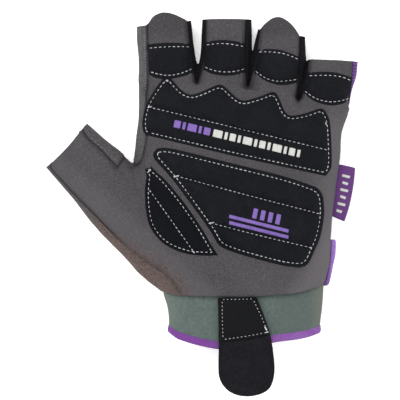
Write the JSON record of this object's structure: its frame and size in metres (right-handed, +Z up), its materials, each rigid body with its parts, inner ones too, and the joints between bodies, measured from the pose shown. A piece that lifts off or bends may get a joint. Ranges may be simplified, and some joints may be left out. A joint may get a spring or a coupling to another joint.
{
  "type": "weightlifting glove",
  "caption": "Half-finger hand glove lying palm up, with padded stitched patches, open fingers and thumb, a stretch wrist cuff and a short closing strap.",
  "frame": {"origin": "on the surface the glove rests on, under the middle of the palm, at the face of the back panel", "axes": "+Y runs from the wrist towards the fingers, +Z up out of the palm, +X towards the little finger"},
  "size_m": [0.1469, 0.1809, 0.0291],
  "materials": {
    "suede": "matt grey synthetic suede",
    "knit": "matt grey stretch knit",
    "fold_cloth": "matt brownish grey stretch cloth",
    "stretch": "black stretch cloth",
    "purple_cloth": "purple bound cloth",
    "cuff_cloth": "sage green neoprene with a knit face",
    "strap_tape": "black brushed loop tape",
    "strap_leather": "smooth black synthetic leather",
    "pad_cloth": "black brushed padded cloth",
    "label_cloth": "satin purple woven tape"
  },
  "bodies": {
    "root": {"palm_panel": "suede", "back_panel": "knit", "thumb_back": "fold_cloth", "fourchette_index_middle": "stretch", "fourchette_middle_ring": "stretch", "fourchette_ring_little": "stretch", "little_side_strip": "purple_cloth", "cuff": "cuff_cloth", "cuff_binding": "purple_cloth", "wrist_strap": "strap_tape", "strap_patch": "strap_leather", "knuckle_pad": "pad_cloth", "palm_pad": "pad_cloth", "thumb_pad": "pad_cloth", "finger_pad_index": "pad_cloth", "finger_pad_middle": "pad_cloth", "finger_pad_ring": "pad_cloth", "finger_pad_little": "pad_cloth", "side_label": "label_cloth", "side_tab": "purple_cloth"}
  },
  "joints": []
}
